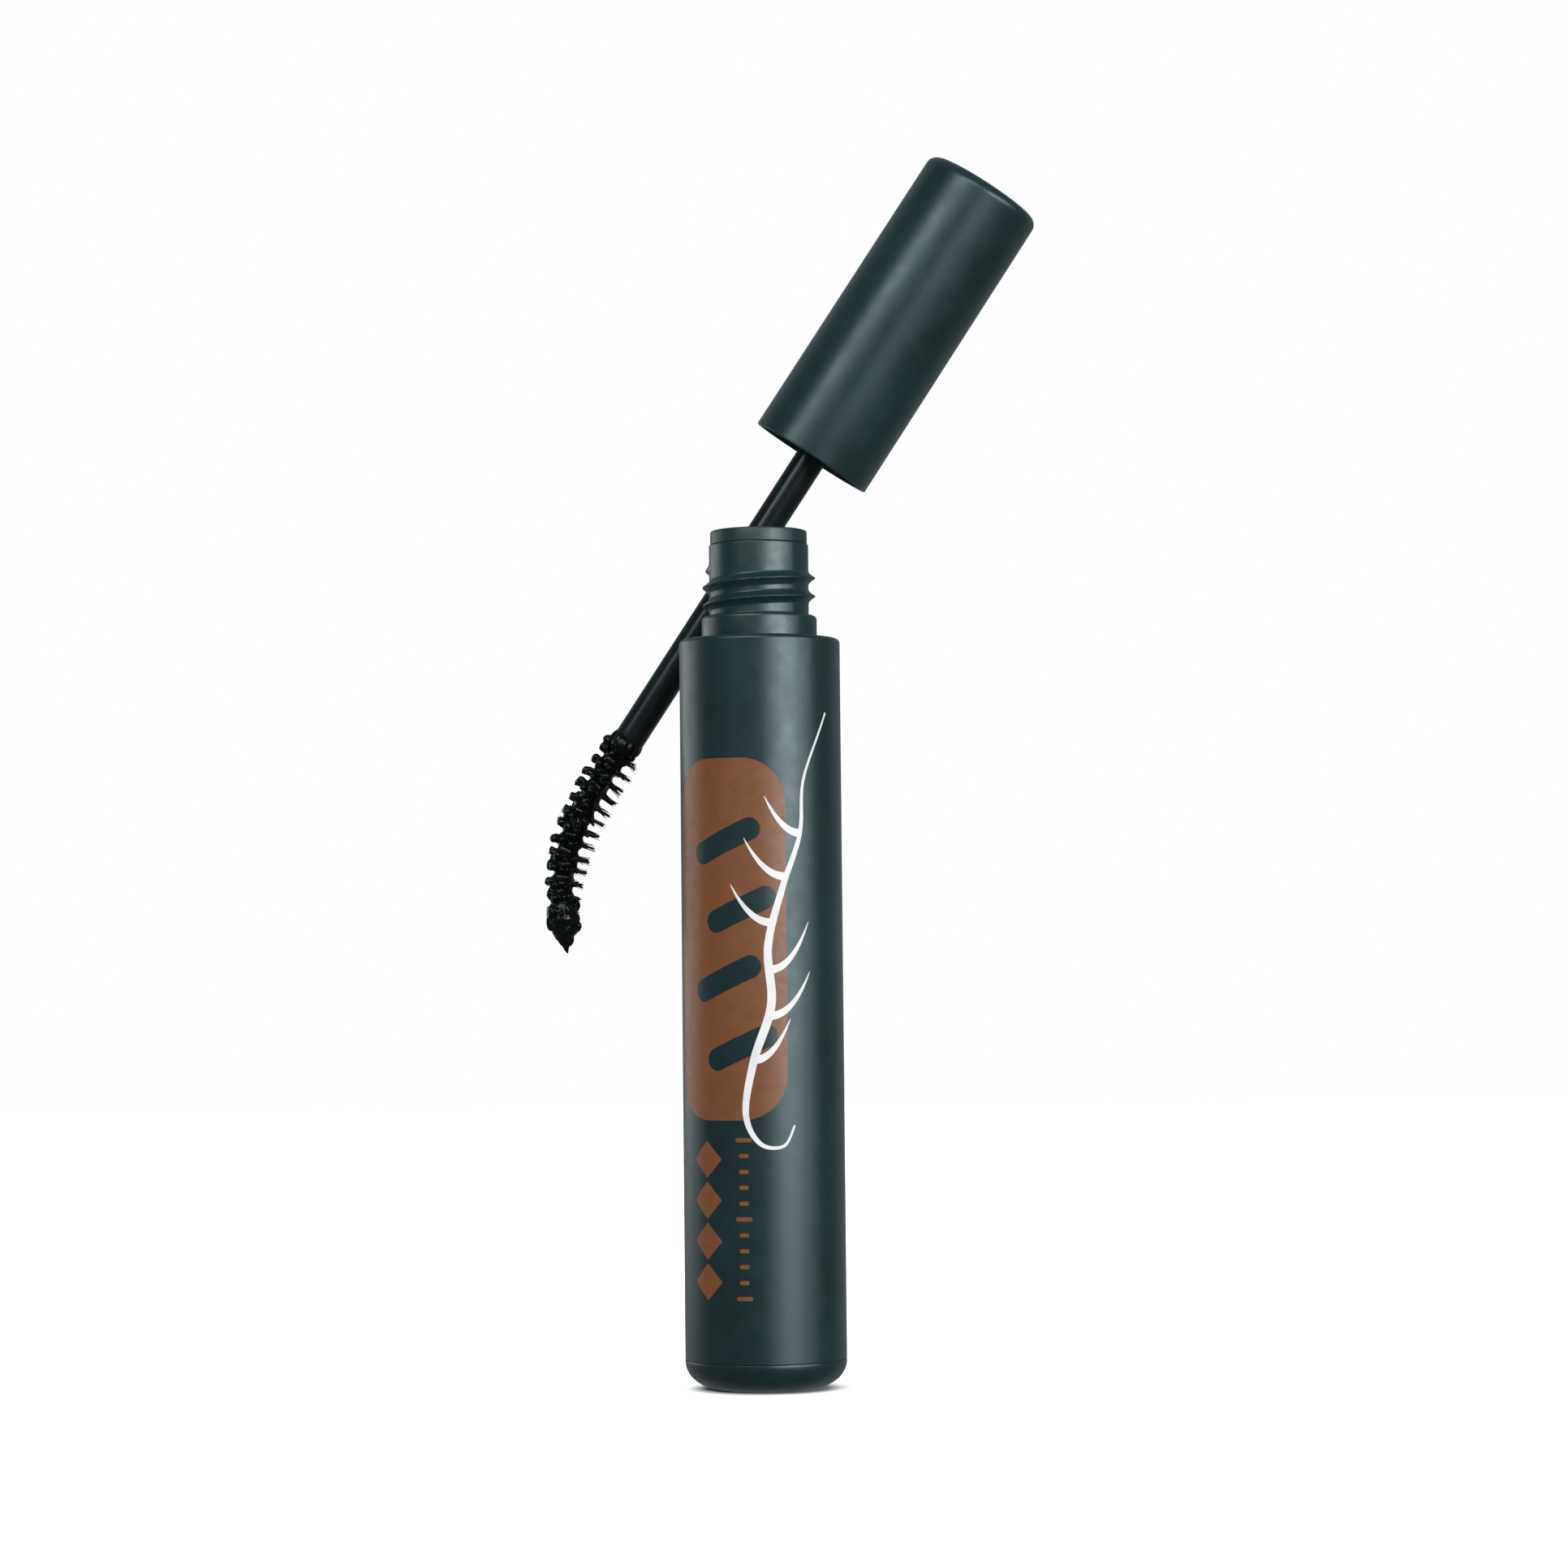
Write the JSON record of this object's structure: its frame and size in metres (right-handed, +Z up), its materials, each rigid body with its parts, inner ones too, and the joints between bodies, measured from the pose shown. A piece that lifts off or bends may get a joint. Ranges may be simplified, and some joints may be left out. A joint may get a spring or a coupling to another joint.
{
  "type": "mascara tube",
  "caption": "Slim round mascara tube, double-walled, standing open with its capped wand and curved brush drawn out behind the neck.",
  "frame": {"origin": "centre of the flat base of the tube, on the surface it stands on", "axes": "+Z up along the tube, +X to the side that the cap leans to, +Y to the side that the wand is on"},
  "size_m": [0.0588, 0.0261, 0.1433],
  "materials": {
    "tube_body": "soft-touch dark green-grey lacquer with copper and white print",
    "cap": "soft-touch dark green-grey lacquer",
    "neck": "satin moulded polypropylene",
    "wiper": "satin soft polyethylene",
    "paste": "wet black paste",
    "liner": "black moulded polypropylene",
    "foam": "white closed-cell polyethylene foam",
    "stem": "polished black plastic",
    "wire": "twisted stainless wire",
    "bristles": "black nylon fibre clumped with paste"
  },
  "bodies": {
    "tube": {"outer_sleeve": "tube_body", "base_plug": "tube_body", "inner_vial": "neck", "wiper": "wiper", "mascara_fill": "paste"},
    "seal": {"seal_washer": "foam"},
    "wand": {"cap_shell": "cap", "inner_cap": "liner", "stem": "stem", "brush_wire": "wire", "bristle_row_01": "bristles", "bristle_row_02": "bristles", "bristle_row_03": "bristles", "bristle_row_04": "bristles", "bristle_row_05": "bristles", "bristle_row_06": "bristles", "bristle_row_07": "bristles", "bristle_row_08": "bristles", "bristle_row_09": "bristles", "bristle_row_10": "bristles", "bristle_row_11": "bristles", "bristle_row_12": "bristles", "bristle_row_13": "bristles", "bristle_row_14": "bristles"}
  },
  "joints": [
    {"name": "wand_draw", "type": "slide", "parent": "tube", "child": "seal", "axis": [0.551, -0.0767, 0.8309], "range_m": [0, 0.075]},
    {"name": "cap_turn", "type": "hinge", "parent": "seal", "child": "wand", "pos_m": [0.00624, 0.00933, 0.10827], "axis": [0.551, -0.0767, 0.8309], "continuous": true}
  ]
}
